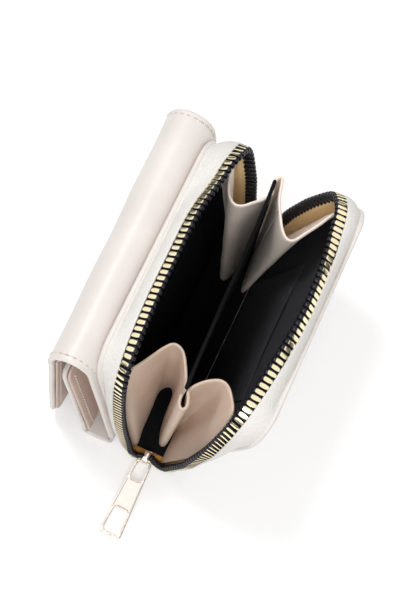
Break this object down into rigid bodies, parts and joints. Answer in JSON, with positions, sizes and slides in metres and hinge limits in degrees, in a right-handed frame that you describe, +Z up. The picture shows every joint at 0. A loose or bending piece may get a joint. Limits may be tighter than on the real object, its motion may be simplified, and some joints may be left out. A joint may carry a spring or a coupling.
{
  "type": "zip card holder",
  "caption": "Small wallet: a zipped coin compartment with pleated ends and a middle divider, and a trifold card section on its left face.",
  "frame": {"origin": "middle of the underside of the floor strip, at the mount floor_strip_underside", "axes": "+Z up, +Y along the mouth from the slider's end to the far end, +X from the trifold card section towards the opening wall"},
  "size_m": [0.0971, 0.1558, 0.0942],
  "materials": {
    "cover_leather": "smooth cream leather, soft sheen",
    "inner_leather": "matt beige leather",
    "band_leather": "fine grained off-white leather",
    "gusset_leather": "matt beige leather",
    "black_cloth": "black woven lining",
    "tan_cloth": "tan backing cloth",
    "zip_tape": "black ribbed tape",
    "gold_metal": "polished pale gold"
  },
  "bodies": {
    "root": {"floor_strip": "cover_leather", "floor_lining": "black_cloth", "left_shell": "cover_leather", "left_lining": "black_cloth", "left_slip_pocket": "black_cloth", "left_zip_band": "band_leather", "left_band_backing": "tan_cloth", "left_zip_tape": "zip_tape", "left_zip_teeth": "gold_metal", "left_near_stop": "gold_metal", "left_far_stop": "gold_metal", "near_gusset": "gusset_leather", "far_gusset": "gusset_leather", "spine_cover": "cover_leather", "spine_lining": "inner_leather", "back_card_panel": "inner_leather", "back_card_slot_1": "inner_leather", "back_card_slot_2": "inner_leather", "bottom_fold": "cover_leather"},
    "right_half": {"right_shell": "cover_leather", "right_lining": "black_cloth", "right_slip_pocket": "black_cloth", "right_zip_band": "band_leather", "right_band_backing": "tan_cloth", "right_zip_tape": "zip_tape", "right_zip_teeth": "gold_metal", "right_near_stop": "gold_metal", "right_far_stop": "gold_metal"},
    "divider": {"divider": "black_cloth"},
    "slider": {"slider_body": "gold_metal"},
    "pull": {"zip_pull": "gold_metal"},
    "leaf": {"leaf_cover": "cover_leather", "leaf_card_slot_1": "inner_leather", "leaf_card_slot_2": "inner_leather"},
    "flap": {"flap_cover": "cover_leather", "flap_card_panel": "inner_leather", "flap_card_slot_1": "inner_leather", "flap_card_slot_2": "inner_leather"}
  },
  "joints": [
    {"name": "mouth_hinge", "type": "hinge", "parent": "root", "child": "right_half", "pos_m": [0.0132, 0, 0], "axis": [0, 1, 0], "range_deg": [-27.5, 10], "deforming": ["near_gusset", "far_gusset"]},
    {"name": "divider_swing", "type": "hinge", "parent": "root", "child": "divider", "pos_m": [0.005, 0, 0.003], "axis": [0, 1, 0], "range_deg": [-14, 5]},
    {"name": "leaf_fold", "type": "hinge", "parent": "root", "child": "leaf", "pos_m": [-0.0266, 0, 0.00415], "axis": [0, -1, 0], "range_deg": [-5, 3]},
    {"name": "flap_fold", "type": "hinge", "parent": "root", "child": "flap", "pos_m": [-0.03963, 0, 0.07551], "axis": [0, 1, 0], "range_deg": [-5, 140]},
    {"name": "slider_slide", "type": "slide", "parent": "root", "child": "slider", "axis": [0, 0, 1], "range_m": [0, 0.004]},
    {"name": "pull_swing", "type": "hinge", "parent": "slider", "child": "pull", "pos_m": [0.0026, -0.0618, 0.0043], "axis": [-1, 0, 0], "range_deg": [0, 95]}
  ],
  "couplings": [
    {"joint": "divider_swing", "follows": "mouth_hinge", "ratio": 0.5}
  ]
}
